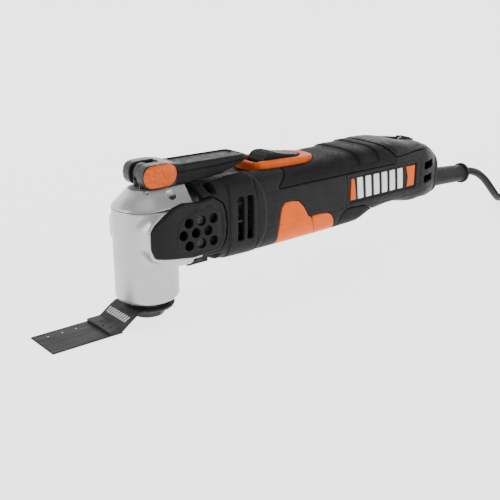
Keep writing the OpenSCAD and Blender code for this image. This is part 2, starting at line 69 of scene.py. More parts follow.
def finish(name, light, dark, rough, metal=0.0, grain=0.5, relief=0.02, patch=16.0, wear_and_highlight=None,
           stretch=(1, 1, 1), swing=0.1, specular=0.5):
    """A surface with mottled colour, fine grain, and lighter edges that are partly wear and partly a painted
    highlight.

    grain, relief and patch are in mm. swing is how far the roughness strays to each side of rough.
    """
    material = bpy.data.materials.new(name)
    material.use_nodes = True
    tree = material.node_tree
    tree.nodes.clear()

    def node(kind, inputs=(), **settings):
        n = tree.nodes.new("ShaderNode" + kind)
        for key, value in settings.items():
            setattr(n, key, value)
        for socket, value in dict(inputs).items():
            if isinstance(value, bpy.types.NodeSocket):
                tree.links.new(value, n.inputs[socket])
            else:
                n.inputs[socket].default_value = value
        return n

    def noise(size, detail=3.0, roughness=0.55):
        return node("TexNoise", {"Vector": where, "Scale": 1000 / size, "Detail": detail,
                                 "Roughness": roughness}).outputs["Fac"]

    def ramp(value, low, high, start, end):
        return node("MapRange", {"Value": value, "From Min": start, "From Max": end,
                                 "To Min": low, "To Max": high}).outputs["Result"]

    def blend(factor, a, b):
        return node("Mix", {0: factor, 6: a, 7: b}, data_type="RGBA").outputs[2]

    place = node("TexCoord").outputs["Object"]
    where = node("Mapping", {"Vector": place, "Scale": stretch}).outputs["Vector"]
    tint = blend(ramp(noise(patch), 0, 1, *MOTTLE), (*light, 1), (*dark, 1))
    # Convex edges are lightened where Pointiness is high, in patches: partly wear, partly a painted highlight
    if wear_and_highlight:
        pointed = node("NewGeometry").outputs["Pointiness"]
        patchy = ramp(noise(SCUFF_SIZE), 0.2, 1, *SCUFFED)
        scuffs_and_highlight = node("Math", {0: ramp(pointed, 0, 1, *POINTED), 1: patchy}, operation="MULTIPLY",
                      use_clamp=True)
        tint = blend(scuffs_and_highlight.outputs[0], tint, (*wear_and_highlight, 1))
    bump = node("Bump", {"Height": noise(grain, 2.0), "Strength": 0.6, "Distance": relief * MM})
    shader = node("BsdfPrincipled", {
        "Base Color": tint, "Metallic": metal, "Specular IOR Level": specular,
        "Normal": bump.outputs["Normal"],
        "Roughness": ramp(noise(grain * 6, 4.0), rough - swing, rough + swing, 0.3, 0.7)})
    node("OutputMaterial", {"Surface": shader.outputs["BSDF"]})
    return material


# Light and dark colour, roughness, and what differs from finish's defaults
LOOKS = {
    "cast_grey": ((0.37, 0.37, 0.37), (0.325, 0.325, 0.33), 0.36,
        dict(metal=0.75, grain=0.5, relief=0.005, patch=30, swing=0.03)),
    "shell_black": ((0.0105, 0.0105, 0.0107), (0.0082, 0.0082, 0.0084), 0.55,
        dict(grain=0.45, relief=0.035, wear_and_highlight=(0.03, 0.03, 0.031), specular=0.09)),
    "guard_black": ((0.0090, 0.0090, 0.0092), (0.0068, 0.0068, 0.0070), 0.48,
        dict(grain=0.6, relief=0.02, wear_and_highlight=(0.028, 0.028, 0.029), specular=0.09)),
    "grip_rubber": ((0.0075, 0.0075, 0.0077), (0.0055, 0.0055, 0.0057), 0.62,
        dict(grain=0.35, relief=0.05, wear_and_highlight=(0.02, 0.02, 0.021), specular=0.08)),
    "orange": ((0.60, 0.092, 0.0015), (0.54, 0.078, 0.001), 0.46,
        dict(grain=0.7, relief=0.03, patch=9, wear_and_highlight=(0.75, 0.17, 0.012), specular=0.1)),
    "pebbled_orange": ((0.60, 0.092, 0.0015), (0.42, 0.055, 0.001), 0.42,
        dict(grain=1.5, relief=0.25, patch=2.2, wear_and_highlight=(0.75, 0.17, 0.012), specular=0.2)),
    "badge": ((0.62, 0.62, 0.62), (0.55, 0.55, 0.55), 0.45, dict(grain=0.5, relief=0.01)),
    "dial": ((0.0080, 0.0080, 0.0082), (0.0060, 0.0060, 0.0062), 0.5,
        dict(grain=0.4, relief=0.04, wear_and_highlight=(0.02, 0.02, 0.021), specular=0.1)),
    "digits": ((0.85, 0.85, 0.84), (0.75, 0.75, 0.74), 0.5, dict(grain=0.4, relief=0.01, patch=3)),
    "steel": ((0.56, 0.56, 0.55), (0.48, 0.48, 0.48), 0.3,
        dict(metal=1.0, grain=0.3, relief=0.01, stretch=(1, 1, 6))),
    "black_oxide": ((0.035, 0.035, 0.037), (0.016, 0.016, 0.017), 0.32,
        dict(metal=0.4, grain=0.3, relief=0.01, wear_and_highlight=(0.08, 0.08, 0.08), specular=0.2)),
    "dark_steel": ((0.030, 0.030, 0.031), (0.018, 0.018, 0.019), 0.36,
        dict(metal=0.5, grain=0.4, relief=0.015, wear_and_highlight=(0.12, 0.12, 0.12), specular=0.15)),
    "blade_steel": ((0.020, 0.020, 0.0205), (0.014, 0.014, 0.0145), 0.5,
        dict(grain=0.5, relief=0.01, stretch=(0.15, 1, 1), wear_and_highlight=(0.09, 0.09, 0.09), specular=0.1)),
    "etched": ((0.42, 0.42, 0.43), (0.34, 0.34, 0.35), 0.5,
        dict(metal=0.3, grain=0.4, relief=0.01, patch=4)),
    "bearing": ((0.62, 0.62, 0.63), (0.5, 0.5, 0.52), 0.22, dict(metal=1.0, grain=0.3, relief=0.006)),
    "iron": ((0.20, 0.20, 0.21), (0.14, 0.14, 0.15), 0.45,
        dict(metal=0.9, grain=0.5, relief=0.04, stretch=(8, 1, 1))),
    "copper": ((0.72, 0.27, 0.11), (0.5, 0.17, 0.07), 0.32,
        dict(metal=1.0, grain=0.6, relief=0.08, stretch=(6, 1, 1))),
    "carbon": ((0.03, 0.03, 0.03), (0.018, 0.018, 0.018), 0.5, dict(metal=0.3, grain=0.3, relief=0.03)),
    "fan": ((0.05, 0.05, 0.05), (0.035, 0.035, 0.035), 0.5, dict(grain=0.6, relief=0.03, specular=0.25)),
    "blue": ((0.03, 0.08, 0.30), (0.02, 0.06, 0.22), 0.4, dict(grain=0.5, relief=0.02)),
    "circuit": ((0.012, 0.07, 0.03), (0.008, 0.05, 0.02), 0.4, dict(grain=1.2, relief=0.04, patch=5)),
    "cable": ((0.0085, 0.0085, 0.0087), (0.0062, 0.0062, 0.0064), 0.5,
        dict(grain=0.6, relief=0.03, specular=0.1)),
    "plug": ((0.013, 0.013, 0.014), (0.010, 0.010, 0.0105), 0.42,
        dict(grain=0.4, relief=0.03, wear_and_highlight=(0.035, 0.035, 0.035), specular=0.12)),
    "pins": ((0.76, 0.72, 0.62), (0.62, 0.58, 0.5), 0.25, dict(metal=1.0, grain=0.3, relief=0.01)),
    "seal": ((0.02, 0.02, 0.02), (0.03, 0.03, 0.03), 0.6, dict(grain=0.3, relief=0.03)),
}
MATERIALS = {name: finish(name, light, dark, rough, **more)
             for name, (light, dark, rough, more) in LOOKS.items()}


# ---- making pieces
SHARP = math.radians(40)


def piece(name, points, faces, slot, body, *nodes, keep=1.0):
    """A mesh from points in mm, riding on a body in place of its CAD nodes. keep thins its faces."""
    mesh = bpy.data.meshes.new(name)
    mesh.from_pydata((np.asarray(points, float) * MM).tolist(), [], [list(map(int, f)) for f in faces])
    return settle(bpy.data.objects.new(name, mesh), slot, body, *nodes, keep=keep)


def settle(obj, slot, body, *nodes, keep=1.0):
    """Links, thins, smooths and colours a piece, and says what it rides on and stands for."""
    scene.collection.objects.link(obj)
    if keep < 1:
        thin = obj.modifiers.new("thin", "DECIMATE")
        thin.ratio = keep
        bpy.context.view_layer.update()
        made = bpy.data.meshes.new_from_object(obj.evaluated_get(bpy.context.evaluated_depsgraph_get()))
        obj.modifiers.clear()
        obj.data = made
    if obj.type == "MESH":
        obj.data.polygons.foreach_set("use_smooth", [True] * len(obj.data.polygons))
        obj.data.set_sharp_from_angle(angle=SHARP)
    obj.data.materials.clear()
    obj.data.materials.append(MATERIALS[slot])
    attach(obj, body)
    if nodes:
        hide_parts(*nodes)
    return obj


# ---- mains lead
CORD_D = 7.0
FLOOR = -11.2
COIL = (476.0, -18.0)
LANES = (44.0, 37.0, 30.0)
LEAD = [(345, 0, 36), (356, 0, 35), (367, 0, 31.5), (377, 0.2, 25.8), (386.5, 0.8, 18.5), (396, 2.2, 10.8),
        (406, 4.6, 3.6), (417, 8.6, -2.6), (429, 13.6, -6.4), (441, 18.6, -7.7), (453, 22.8, -7.7),
        (464.5, 25.3, -7.7), (476, 26, -7.7)]
END_BEND = (484.9, -18.5)
END_RADIUS, END_Z = 28, 20.3
LAYERS = 4
PLUG_AT = (484.9, -46.5, 23.65)
PLUG_TURN = math.radians(180)


def rounded_path(points, per_span):
    """A smooth line through the points."""
    p = np.array(points, float)
    p = np.vstack([2 * p[0] - p[1], p, 2 * p[-1] - p[-2]])
    made = []
    for i in range(1, len(p) - 2):
        t = np.linspace(0, 1, per_span, endpoint=False)[:, None]
        a, b, c, d = p[i - 1:i + 3]
        made.append(0.5 * (2 * b + (c - a) * t + (2 * a - 5 * b + 4 * c - d) * t ** 2
                           + (3 * b - a - 3 * c + d) * t ** 3))
    return np.vstack(made + [p[-2:-1]])


def coil_path():
    """Three lanes wide and four layers high. Each step to the next lane or layer takes 40 degrees."""
    turned = [0.0]
    radius, height = [LANES[0]], [FLOOR + CORD_D / 2]
    inward, phi = True, 0.0
    for layer in range(LAYERS):
        lanes = LANES if inward else LANES[::-1]
        for nxt in lanes[1:]:
            stop = 310 - 80 * layer
            phi += (stop - phi) % 360 or 360
            turned += [phi - 20, phi + 20]
            radius += [radius[-1], nxt]
            height += [height[-1]] * 2
        if layer < LAYERS - 1:
            stop = 270 - 80 * layer
            phi += (stop - phi) % 360 or 360
            turned += [phi - 20, phi + 20]
            radius += [radius[-1]] * 2
            height += [height[-1], height[-1] + CORD_D]
        inward = not inward
    last = math.ceil(phi / 360) * 360 + 30
    turned += [last, last + 60]
    radius += [radius[-1], 37.0]
    height += [height[-1], height[-1] + CORD_D]
    steps = np.arange(3, last + 60.1, 3)
    spot = np.interp(steps, turned, np.arange(len(turned)))
    base = np.minimum(spot.astype(int), len(turned) - 2)
    ease = spot - base
    ease = ease * ease * (3 - 2 * ease)
    r = np.array(radius)[base] * (1 - ease) + np.array(radius)[base + 1] * ease
    z = np.array(height)[base] * (1 - ease) + np.array(height)[base + 1] * ease
    a = np.radians(90 - steps)
    return np.stack([COIL[0] + r * np.cos(a), COIL[1] + r * np.sin(a), z], 1)


bend = np.radians(np.arange(-3, -90.1, -3))
cord_tail = np.stack([END_BEND[0] + END_RADIUS * np.cos(bend), END_BEND[1] + END_RADIUS * np.sin(bend),
                      END_Z + np.maximum(0, -np.degrees(bend) - 45) * 0.07], 1)
route = np.vstack([rounded_path(LEAD, 6), coil_path(), cord_tail])

lead_curve = bpy.data.curves.new("mains_lead", "CURVE")
lead_curve.dimensions = "3D"
lead_curve.bevel_depth = CORD_D / 2 * MM
lead_curve.bevel_resolution = 5
lead_curve.use_fill_caps = True
spline = lead_curve.splines.new("POLY")
spline.points.add(len(route) - 1)
spline.points.foreach_set("co", np.hstack([route * MM, np.ones((len(route), 1))]).astype(np.float32).ravel())
spline.use_smooth = True
mains_lead = settle(bpy.data.objects.new("mains_lead", lead_curve), "cable", "root",
                    "cord_lead", "cord_coil", "cord_end")


# ---- solid shapes as distance fields, in mm
MOST_TRIANGLES = 90000


def lattice(lo, hi, step):
    """Sample places of a box along X, Y and Z, ready to combine."""
    x, y, z = (np.arange(lo[i], hi[i] + step, step, dtype=np.float32) for i in range(3))
    return x[:, None, None], y[None, :, None], z[None, None, :]


def band(v, a, b):
    return np.maximum(a - v, v - b)


def both(a, b, r=0.0):
    """Where a and b overlap, with their meeting edge rounded to radius r."""
    if r <= 0:
        return np.maximum(a, b)
    return np.minimum(np.maximum(a, b), -r) + np.hypot(np.maximum(a + r, 0), np.maximum(b + r, 0))


def either(a, b, r=0.0):
    """a joined to b, with a fillet of radius r."""
    return -both(-a, -b, r)


def without(a, b, r=0.0):
    return both(a, -b, r)


def block(x, y, z, r=0.0):
    """x, y and z are (coordinate, low, high)."""
    return both(both(band(*x), band(*y), r), band(*z), r)


def rod(u, v, cu, cv, r):
    return np.hypot(u - cu, v - cv) - r


def filleted(points, r, steps=5):
    """An outline's points with its corners rounded."""
    p = np.array(points, float)
    r = np.broadcast_to(r, len(p))
    made = []
    for i in range(len(p)):
        a, b, c = p[i - 1], p[i], p[(i + 1) % len(p)]
        u, v = (a - b) / np.linalg.norm(a - b), (c - b) / np.linalg.norm(c - b)
        half = math.acos(float(np.clip(u @ v, -1, 1))) / 2
        if r[i] <= 0 or half > 1.53:
            made.append(b)
            continue
        reach = min(r[i] / math.tan(half), 0.48 * np.linalg.norm(a - b), 0.48 * np.linalg.norm(c - b))
        for t in np.linspace(0, 1, steps):
            made.append(b + u * reach * (1 - t) ** 2 + v * reach * t ** 2)
    return np.array(made)


def whole(half):
    """A plan's points from its half with Y above 0, given from front to rear."""
    return [(x, -y) for x, y in half] + half[::-1]


def outline(u, v, points, r=0.0):
    """Signed distance to a closed outline, negative inside."""
    p = filleted(points, r)
    best, inside = None, False
    for a, b in zip(p, np.roll(p, -1, 0)):
        du, dv = b - a
        t = np.clip(((u - a[0]) * du + (v - a[1]) * dv) / max(du * du + dv * dv, 1e-9), 0, 1)
        d = (u - a[0] - t * du) ** 2 + (v - a[1] - t * dv) ** 2
        best = d if best is None else np.minimum(best, d)
        if dv:
            crosses = ((a[1] > v) != (b[1] > v)) & (u < a[0] + (v - a[1]) * du / dv)
            inside = inside ^ crosses
    return np.where(inside, -1, 1) * np.sqrt(best)


def skin(field, lo, step):
    """Points and four-sided faces of the surface where the field passes through zero."""
    field = np.ascontiguousarray(np.pad(field, 1, constant_values=1.0).astype(np.float32))
    lo = np.array(lo, float) - step
    negative = field < 0
    n = np.array(field.shape) - 1
    corners = [(i, j, k) for i in (0, 1) for j in (0, 1) for k in (0, 1)]
    count = sum(negative[i:n[0] + i, j:n[1] + j, k:n[2] + k].astype(np.uint8) for i, j, k in corners)
    mixed = (count > 0) & (count < 8)
    cells = np.argwhere(mixed)
    index = np.full(mixed.shape, -1, np.int32)
    index[mixed] = np.arange(len(cells))
    value = {c: field[tuple((cells + c).T)].astype(float) for c in corners}
    total, crossings = np.zeros((len(cells), 3)), np.zeros(len(cells))
    for c in corners:
        for axis in range(3):
            if c[axis]:
                continue
            d = tuple(int(i == axis or c[i]) for i in range(3))
            a, b = value[c], value[d]
            cut = (a < 0) != (b < 0)
            t = np.where(cut, a / np.where(cut, a - b, 1), 0)
            spot = np.array(c, float) + np.eye(3)[axis] * t[:, None]
            total += spot * cut[:, None]
            crossings += cut
    local = total / crossings[:, None]
    for _ in range(2):
        x, y, z = local.T
        f, g = 0, np.zeros((len(cells), 3))
        for c in corners:
            wx, wy, wz = (q if i else 1 - q for q, i in zip((x, y, z), c))
            f = f + value[c] * wx * wy * wz
            sx, sy, sz = (1 if i else -1 for i in c)
            g += value[c][:, None] * np.stack([sx * wy * wz, wx * sy * wz, wx * wy * sz], 1)
        size = np.maximum((g * g).sum(1), 1e-6)
        local = np.clip(local - (f / size)[:, None] * g, 0.02, 0.98)
    points = lo + (cells + local) * step
    faces = []
    for axis in range(3):
        one, two = (axis + 1) % 3, (axis + 2) % 3
        here = [slice(1, n[i]) for i in range(3)]
        here[axis] = slice(0, n[axis])
        ahead = list(here)
        ahead[axis] = slice(1, n[axis] + 1)
        a, b = negative[tuple(here)], negative[tuple(ahead)]
        for flip, chosen in ((False, a & ~b), (True, ~a & b)):
            at = np.argwhere(chosen)
            for i in (one, two):
                at[:, i] += 1
            quad = []
            for p, q in ((-1, -1), (0, -1), (0, 0), (-1, 0)):
                s = at.copy()
                s[:, one] += p
                s[:, two] += q
                quad.append(index[s[:, 0], s[:, 1], s[:, 2]])
            quad = np.stack(quad, 1)
            faces.append(quad[:, ::-1] if flip else quad)
    return points, np.vstack(faces)


def surface(shape, lo, hi, step):
    """Points and faces of shape(X, Y, Z) inside a box."""
    return skin(shape(*lattice(lo, hi, step)), lo, step)


def solid(name, lo, hi, step, shape, slot, body, *nodes):
    """The piece whose distance field is shape(X, Y, Z)."""
    points, faces = surface(shape, lo, hi, step)
    return piece(name, points, faces, slot, body, *nodes, keep=min(1.0, MOST_TRIANGLES / len(faces) / 2))


def mirrored(obj, name, slot, body, *nodes):
    """The same piece on the other side of Y = 0."""
    mesh = obj.data.copy()
    mesh.name = name
    co = np.zeros(len(mesh.vertices) * 3, np.float32)
    mesh.vertices.foreach_get("co", co)
    co[1::3] *= -1
    mesh.vertices.foreach_set("co", co)
    mesh.flip_normals()
    return settle(bpy.data.objects.new(name, mesh), slot, body, *nodes)


def pair(name, lo, hi, step, shape, slot, body, left=(), right=()):
    """A piece and its mirror image. left and right are the CAD nodes that they stand for."""
    made = solid(name + "_left", lo, hi, step, shape, slot, body, *left)
    mirrored(made, name + "_right", slot, body, *right)


def turned(profile, sides, centre=(0, 0, 0)):
    """Points and faces of a profile of (radius, height) spun round Z through centre."""
    a = np.linspace(0, 2 * math.pi, sides, endpoint=False)
    rings = [np.stack([r * np.cos(a), r * np.sin(a), np.full(sides, h)], 1) for r, h in profile]
    points = np.vstack(rings) + np.array(centre, float)
    faces = []
    for j in range(len(profile) - 1):
        for i in range(sides):
            k = (i + 1) % sides
            faces.append((j * sides + i, j * sides + k, (j + 1) * sides + k, (j + 1) * sides + i))
    return points, faces


def joined(parts):
    """Several (points, faces) as one."""
    points, faces, start = [], [], 0
    for p, f in parts:
        points.append(np.asarray(p, float))
        faces += [tuple(int(i) + start for i in q) for q in f]
        start += len(p)
    return np.vstack(points), faces


# ---- the body's overall form
BODY = [(30, 26.8, 23.6, 80.8), (46, 27.6, 23.2, 81.6), (74, 29.2, 23, 82.4), (84, 29.8, 23, 82),
        (125, 29.8, 23.2, 80.4), (150, 29.8, 23.6, 80.8), (178, 29.8, 24.4, 82.8), (196, 29.8, 30.4, 83.6),
        (224, 29.8, 33, 83), (248, 29.6, 30.4, 79.4), (256, 29.2, 30.2, 78.4), (264, 26.6, 29.4, 76.6),
        (271, 23.2, 28.6, 74.2), (278, 19, 28, 71), (286, 14.2, 27.6, 66.6)]
TAIL = [(286, 14.2, 27.6, 66.6), (290, 13, 28.2, 63.5), (293, 11.6, 29.6, 60), (294.5, 10.4, 31, 57)]
ROOM = [(29, 21.6, 30, 77), (49, 21.6, 30, 77), (51, 26.2, 26, 77), (76, 26.6, 26, 77), (90, 27, 26, 77),
        (178, 27, 27, 77), (198, 27, 34, 79.5), (224, 27, 36, 79.5), (248, 26.6, 33.4, 76),
        (256, 26.2, 33.2, 75), (264, 23.4, 32.4, 73.2), (271, 20, 31.6, 70.8), (278, 15.8, 31, 67.6),
        (287, 11, 30.8, 63)]
SQUARE = 4.0
PANEL = 1.6


def along(x, rows, column):
    """A smooth, overshoot-free line through a column of the rows."""
    rows = np.array(rows, float)
    k, v = rows[:, 0], rows[:, column]
    slope = np.diff(v) / np.diff(k)
    m = np.zeros(len(k))
    product, total = slope[:-1] * slope[1:], slope[:-1] + slope[1:]
    m[1:-1] = np.where(product > 0, 2 * slope[:-1] * slope[1:] / np.where(total == 0, 1, total), 0)
    m[0], m[-1] = slope[0], slope[-1]
    q = np.clip(x, k[0], k[-1])
    i = np.clip(np.searchsorted(k, q) - 1, 0, len(k) - 2)
    h = k[i + 1] - k[i]
    t = (q - k[i]) / h
    return ((2 * t ** 3 - 3 * t ** 2 + 1) * v[i] + (t ** 3 - 2 * t ** 2 + t) * h * m[i]
            + (3 * t ** 2 - 2 * t ** 3) * v[i + 1] + (t ** 3 - t ** 2) * h * m[i + 1])


def form(X, Y, Z, rows=BODY, inset=0.0):
    """Distance from the body's outer form."""
    w, low, high = (along(X, rows, i) for i in (1, 2, 3))
    w, h, mid = w - inset, (high - low) / 2 - inset, (high + low) / 2
    u, v = np.abs(Y) / w, np.abs(Z - mid) / h
    f = np.maximum((u ** SQUARE + v ** SQUARE) ** (1 / SQUARE), 0.05)
    gu, gv = (u / f) ** (SQUARE - 1) / w, (v / f) ** (SQUARE - 1) / h
    return (f - 1) / np.maximum(np.hypot(gu, gv), 1 / 60)


def line(x, z, points, width):
    """A soft groove, from 0 to 1, that follows points in the side view."""
    best = None
    for a, b in zip(points, points[1:]):
        dx, dz = b[0] - a[0], b[1] - a[1]
        t = np.clip(((x - a[0]) * dx + (z - a[1]) * dz) / (dx * dx + dz * dz), 0, 1)
        d = (x - a[0] - t * dx) ** 2 + (z - a[1] - t * dz) ** 2
        best = d if best is None else np.minimum(best, d)
    return np.exp(-best / (width * width))


def step_up(v, width=0.5):
    """From 0 to 1 as v passes zero."""
    t = np.clip(v / width * 0.5 + 0.5, 0, 1)
    return t * t * (3 - 2 * t)


GUARD = [(-12, 44.5), (-8.5, 37.8), (-1.5, 36.3), (20, 33.3), (43.5, 34.2), (47.4, 42), (48.4, 51),
         (47.4, 60), (45, 66.5), (37, 71.9), (25, 70.7), (13, 72), (5, 70), (-8.5, 60.5), (-12, 56.5)]
GUARD_HOLES = [(16.5, 58.2), (36.5, 58.2), (12, 50.5), (22, 50.5), (32, 50.5), (16.5, 42.5), (36.5, 42.5)]
GUARD_SCREWS = [(26.6, 58.2), (26.6, 42.5)]
SADDLE_FRONT = [(96.2, 10), (95, 24), (93.4, 36), (95, 48), (96.2, 54.5), (99.5, 57.8), (106, 57.9),
                (112.6, 56.6), (118, 51.4), (122.6, 43.6), (125.4, 42.3), (127, 38), (131.6, 28), (134, 10)]
SADDLE_REAR = [(126, 42.9), (134.2, 43), (142, 42.2), (146.4, 40), (149.4, 36), (152.6, 28), (154, 10),
               (134, 10), (131.6, 28), (127, 38)]
BELLY = [(156.2, 10), (154.6, 28), (156, 35), (160.8, 40.2), (165, 41.3), (182, 40.6), (189, 37), (198, 33.6),
         (208, 31), (210, 10)]
GRIP = [(108, 92), (107, 81.6), (94, 69.9), (94, 68.5), (216.8, 68.5), (217.2, 72.6), (198, 92)]
BEZEL = [(199.2, 92), (218.6, 73), (243, 74.4), (264, 73.6), (274, 72), (275.2, 92)]
BADGE = [(165, 45), (242, 45), (242, 65.6), (165, 65.6)]


def relief(x, z):
    """How far the body's skin stands proud at a place of the side view."""
    collar_end = 81.5 - 0.0093 * (z - 52) ** 2
    h = 0.75 * step_up(x - 50.4) * step_up(collar_end - x, 0.9)
    h = h - 0.7 * line(x, z, [(53, 84), (50.2, 74), (50.2, 30), (50, 20)], 0.42)
    h = h - 0.6 * line(x, z, [(76, 84), (72, 76), (72.6, 68), (73.9, 60), (74.3, 40), (73, 20)], 0.4)
    h = h - 0.55 * line(x, z, [(82, 68.1), (246, 68.1)], 0.36)
    h = h - 0.5 * line(x, z, [(82, 42.7), (158, 42.7)], 0.34)
    h = h - 0.55 * line(x, z, [(160.6, 68.1), (162.2, 52), (160.8, 42)], 0.38)
    h = h - 0.55 * line(x, z, [(247.6, 68.1), (246.4, 44)], 0.38)
    h = h - 0.5 * line(x, z, [(164, 41.6), (186, 40.6), (222, 38.6), (246, 40.4), (280, 44)], 0.4)
    h = h + 0.9 * step_up(33.0 - z, 3.0) * step_up(x - 224, 1.6) * step_up(252 - x, 6)
    return h


def ribs(x, z):
    """Hollows for the fingers in the upper grip."""
    h = 0
    for start, end in ((163.0, 176.8), (183.4, 197.8)):
        h = h - 0.95 * step_up(x - start - 3.5, 7.0) * step_up(end - x, 1.1) * step_up(z - 72.9, 1.5)
    return h


def body_skin(X, Y, Z, extra=None):
    """Distance from the body's skin with its relief."""
    h = relief(X, Z)
    if extra is not None:
        h = h + extra(X, Z)
    return form(X, Y, Z) - h


GAP = 0.18


def panel(name, lo, hi, step, region, slot, node, radius=0.6, extra=None, cut=None, proud=0.0):
    """A coloured or soft panel that lies in the shells, inside a region of the side view."""
    def shape(X, Y, Z):
        skin_d = body_skin(X, Y, Z, extra) - proud
        d = both(outline(X, Z, region, 2.0) + GAP, skin_d, radius)
        if cut is not None:
            d = without(d, cut(X, Y), radius)
        return without(d, form(X, Y, Z, inset=PANEL) - 0.05)
    return solid(name, lo, hi, step, shape, slot, "root", node)


# ---- gear head
COLLAR = 21.9
SEAM = 67.65
MOTOR_Z = 52


def head_block(X, Y, Z):
    """The gear head's own form, without its cap's seam."""
    column = both(np.hypot(X, Y) - COLLAR, 3.5 - Z, 3.0)
    rear = both(both(np.abs(Y) - COLLAR, 26.6 - Z, 3.5), X - 29.6)
    rear = both(rear, -X)
    cheeks = both(outline(X, Z, [(-13.4, 44.2), (-9.6, 36.6), (-2, 34), (20, 30.6), (29.6, 30.2), (29.6, 74),
                                 (13, 73.6), (4, 71.4), (-9.6, 62), (-13.4, 57)], 4), np.abs(Y) - 24.3, 1.2)
    return either(either(column, rear, 1.0), cheeks, 5.0)


def gear_housing(X, Y, Z):
    d = both(head_block(X, Y, Z), Z - SEAM, 0.4)
    neck = both(both(rod(Y, Z, 0, MOTOR_Z, 21), X - 47), 25 - X)
    d = either(d, neck)
    # The cut behind the collar's foot
    d = without(d, both(22.4 - X, Z - 31.4), 0.3)
    for x, z in GUARD_HOLES + GUARD_SCREWS:
        d = without(d, both(rod(X, Z, x, z, 4.6), 18.6 - np.abs(Y)), 0.2)
    # Bores for the spindle and its bearings, the fork's room, and the motor's front bearing
    d = without(d, both(rod(X, Y, 0, 0, 17.6), 19 - Z))
    d = without(d, both(rod(X, Y, 0, 0, 17.5), 9 - Z))
    d = without(d, both(rod(X, Y, 0, 0, 14), Z - 10), 0.6)
    d = without(d, block((X, 0, 36), (Y, -16.5, 16.5), (Z, 38, 60.6)))
    d = without(d, block((X, 19, 36), (Y, -13, 13), (Z, 38, 63)))
    d = without(d, both(rod(Y, Z, 0, MOTOR_Z, 9.5), 30 - X))
    d = without(d, both(rod(Y, Z, 0, MOTOR_Z, 11), 39.8 - X))
    return d


CAP_SCREWS = [(12.4, 15)]
HOLE = 3.4


def gear_housing_cap(X, Y, Z):
    q = np.where(X < 0, np.hypot(X, Y), np.abs(Y) + 0 * X)
    profile = [(-40, 68), (COLLAR, 68), (COLLAR, 68.5), (20.8, 69.8), (15, 75.5), (10.8, 80.2), (-40, 80.2)]
    d = both(outline(q, Z, profile, [0, 0.4, 0.6, 1.2, 1.5, 1.6, 0]), X - 25.8, 1.0)
    d = without(d, both(rod(X, Y, 0, 0, 13), Z - 75.6))
    d = without(d, rod(X, Y, 0, 0, 2.5), 0.3)
    for x, y in CAP_SCREWS:
        heart = either(rod(X, np.abs(Y), x - 1.0, y, 2.1), rod(X, np.abs(Y), x + 1.0, y - 0.2, 2.1), 0.3)
        d = without(d, both(heart, 72.3 - Z), 0.5)
        d = without(d, both(rod(X, np.abs(Y), x, y, 1.3), Z - 73))
    return without(d, np.sqrt((X + 4.4) ** 2 + (np.abs(Y) - 11.9) ** 2 + (Z - 79.4) ** 2) - 1.5, 0.4)


solid("gear_housing_cast", (-24, -26, 2.5), (48, 26, 76), 0.62, gear_housing, "cast_grey", "root",
      "gear_housing")
solid("gear_cap_cast", (-23, -23, 67.2), (27, 23, 81), 0.55, gear_housing_cap, "cast_grey", "root",
      "gear_housing_cap")


def side_guard(X, Y, Z):
    edge = outline(X, Z, GUARD, 3.5)
    engraved = 0.55 * np.exp(-((edge + 3.9) / 0.55) ** 2) * step_up(X - 28, 2) * step_up(Z - 44, 4)
    face = 27.8 - 0.0078 * np.maximum(8 - X, 0) ** 2 - engraved
    d = both(edge, Y - face, 1.3)
    d = both(d, 24.4 - Y)
    pad = outline(X, Z, [(6, 40), (40, 36), (42, 62), (24, 66), (8, 60)], 5)
    d = either(d, both(both(pad, Y - 27.95, 1.2), 25 - Y), 0.8)
    for x, z in GUARD_HOLES:
        d = either(d, both(rod(X, Z, x, z, 4.2), band(Y, 19, 26)))
        d = without(d, both(rod(X, Z, x, z, HOLE), 20 - Y), 0.5)
    for x, z in GUARD_SCREWS:
        d = either(d, both(rod(X, Z, x, z, 4.2), band(Y, 21, 26)))
        d = without(d, both(rod(X, Z, x, z, HOLE), 25.2 - Y), 0.5)
        d = without(d, rod(X, Z, x, z, 1.7))
    return d


pair("side_guard_moulded", (-13.5, 18, 32), (50, 29.5, 73.5), 0.4, side_guard, "guard_black", "root",
     ["side_guard_left"], ["side_guard_right"])


def screw(radius, head, length, shank):
    """A cross-head screw whose head's top is at height 0, its shank running down."""
    def head_shape(X, Y, Z):
        dome = np.sqrt(X ** 2 + Y ** 2 + (Z + 3.2 * radius) ** 2) - 3.2 * radius
        d = both(both(rod(X, Y, 0, 0, radius), dome, 0.35), -head - Z, 0.1)
        arm, half = 0.62 * radius, 0.11 * radius + 0.12
        deep = (Z, -0.55 * head, 5)
        cross = np.minimum(block((X, -arm, arm), (Y, -half, half), deep, 0.1),
                           block((Y, -arm, arm), (X, -half, half), deep, 0.1))
        return without(d, cross, 0.08)

    side = radius + 0.5
    head_mesh = surface(head_shape, (-side, -side, -head - 0.4), (side, side, 0.5), 0.16)
    pitch, thread = 0.7, []
    z = -head + 0.05
    while z > -head - length:
        thread += [(shank, z), (shank * 0.82, z - pitch / 2), (shank, z - pitch)]
        z -= pitch
    thread += [(0.02, z)]
    return joined([head_mesh, turned([(0.02, -head + 0.05)] + thread, 24)])


def facing_y(mesh, x, y, z, side):
    """Turns a screw so that its head faces outwards along side * Y."""
    p = np.asarray(mesh[0])
    turned_points = np.stack([p[:, 0] * side, p[:, 2] * side, -p[:, 1]], 1) + np.array([x, y * side, z])
    return turned_points, mesh[1]


guard_screw = screw(2.9, 1.6, 6.5, 1.5)
piece("side_guard_screw_set",
      *joined([facing_y(guard_screw, x, 26.8, z, side) for x, z in GUARD_SCREWS for side in (1, -1)]),
      "black_oxide", "root", "side_guard_screws")
cap_screw = screw(2.3, 1.7, 10.8, 1.25)
piece("cap_screw_set",
      *joined([(np.asarray(cap_screw[0]) + np.array([x, y * side, 74.0]), cap_screw[1])
               for x, y in CAP_SCREWS for side in (1, -1)]),
      "black_oxide", "root", "cap_screws")


